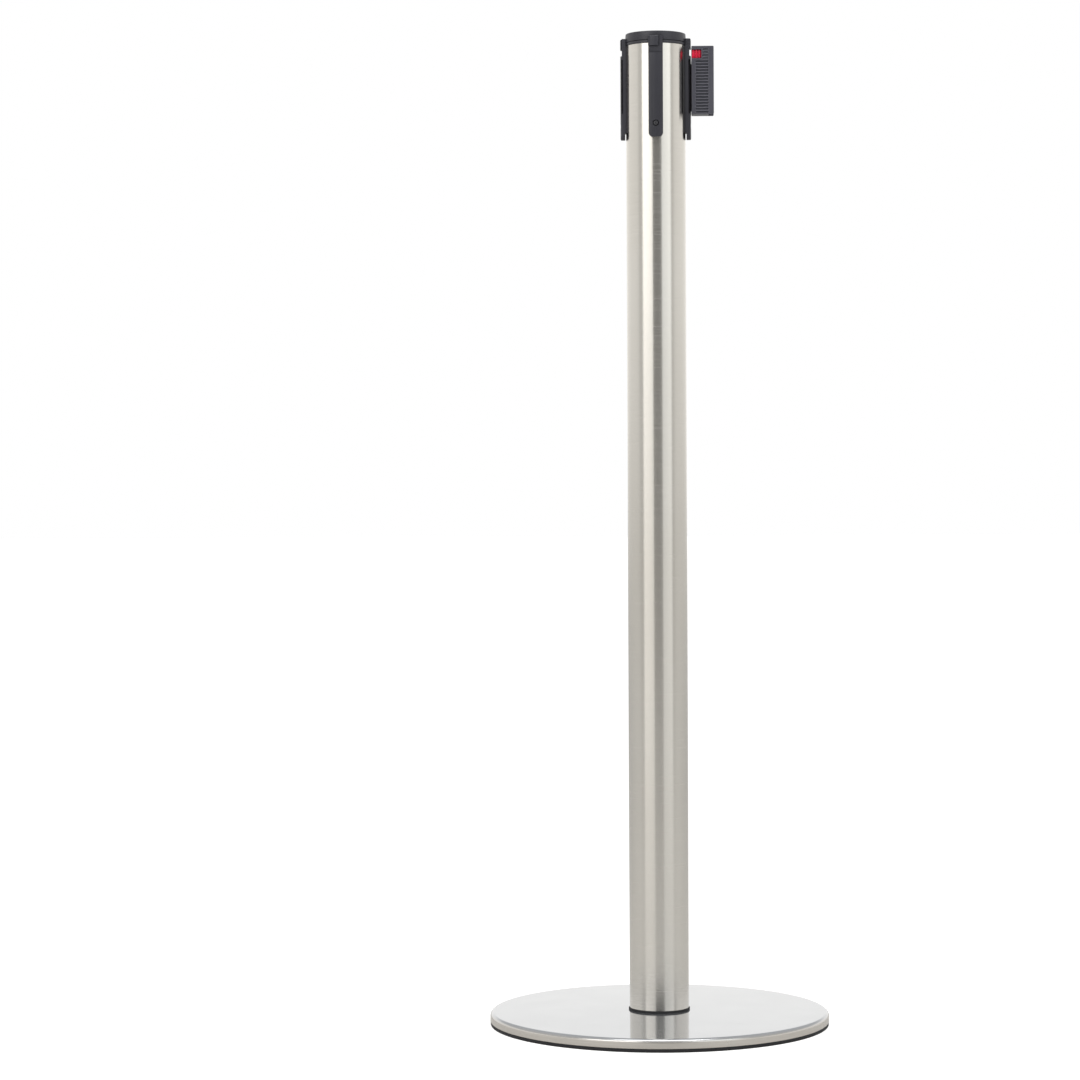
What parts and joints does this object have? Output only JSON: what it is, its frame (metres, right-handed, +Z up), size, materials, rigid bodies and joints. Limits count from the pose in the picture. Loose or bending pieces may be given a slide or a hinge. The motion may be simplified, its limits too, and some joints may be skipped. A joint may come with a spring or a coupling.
{
  "type": "retractable belt stanchion",
  "caption": "Freestanding queue post: round weighted base, steel tube, clip rails round the head and a spring-retracted belt that ends in a ribbed clip with a red lock.",
  "frame": {"origin": "centre of the base at floor level, on the post's axis", "axes": "+Z up along the post; +X is the side on which the belt comes out; -Y is the front rail's side"},
  "size_m": [0.36, 0.36, 1.05],
  "materials": {
    "satin_steel": "satin, fine brushing round the post",
    "plain_steel": "machined, zinc plated",
    "painted_steel": "rolled steel disc under grey paint",
    "rubber": "matt black",
    "black_plastic": "fine moulded grain",
    "black_steel": "black oxide",
    "brass": "machined",
    "grey_plastic": "moulded",
    "spring_steel": "blued strip",
    "webbing": "woven polyester",
    "red_plastic": "bright red, half gloss"
  },
  "bodies": {
    "post": {"base_cover": "satin_steel", "post_tube": "satin_steel", "anchor_plug": "plain_steel", "base_washer": "plain_steel", "base_bolt": "plain_steel", "base_dowel": "plain_steel", "spindle": "plain_steel", "cassette_seat": "plain_steel", "pillar_1": "plain_steel", "pillar_2": "plain_steel", "pillar_3": "plain_steel", "guide_pin_back": "plain_steel", "guide_pin_front": "plain_steel", "base_weight": "painted_steel", "floor_ring": "rubber", "foot_gasket": "rubber", "cap_collar": "black_plastic", "cap": "black_plastic", "rail_front": "black_plastic", "rail_exit": "black_plastic", "rail_back": "black_plastic", "rail_left": "black_plastic", "rail_screw_front": "black_steel", "rail_screw_exit": "black_steel", "rail_screw_back": "black_steel", "rail_screw_left": "black_steel", "rail_nut_front": "brass", "rail_nut_exit": "brass", "rail_nut_back": "brass", "rail_nut_left": "brass", "friction_washer": "brass", "spring_cup": "grey_plastic", "spring_cover": "grey_plastic", "cassette_base": "grey_plastic", "cassette_top": "grey_plastic", "coil_spring": "spring_steel", "retaining_ring": "spring_steel", "belt_lead": "webbing"},
    "spool": {"spool": "grey_plastic", "belt_roll": "webbing"},
    "belt_clip": {"clip_shell_front": "black_plastic", "clip_shell_back": "black_plastic", "clamp_pin": "plain_steel", "belt_tail": "webbing", "lock_spring": "spring_steel", "clip_screw_1": "plain_steel", "clip_screw_2": "plain_steel"},
    "lock": {"lock_slider": "red_plastic"}
  },
  "joints": [
    {"name": "belt_pull", "type": "slide", "parent": "post", "child": "belt_clip", "axis": [1, 0, 0], "range_m": [0, 2], "stiffness_N_per_m": 2, "springref_m": -3},
    {"name": "spool_spin", "type": "hinge", "parent": "post", "child": "spool", "pos_m": [-0.007, -0.003, 0.9934], "axis": [0, 0, 1], "range_deg": [-8400, 0]},
    {"name": "lock_slide", "type": "slide", "parent": "belt_clip", "child": "lock", "axis": [1, 0, 0], "range_m": [0, 0.003]}
  ],
  "couplings": [
    {"joint": "spool_spin", "follows": "belt_pull", "rad_per_m": -72.6}
  ]
}
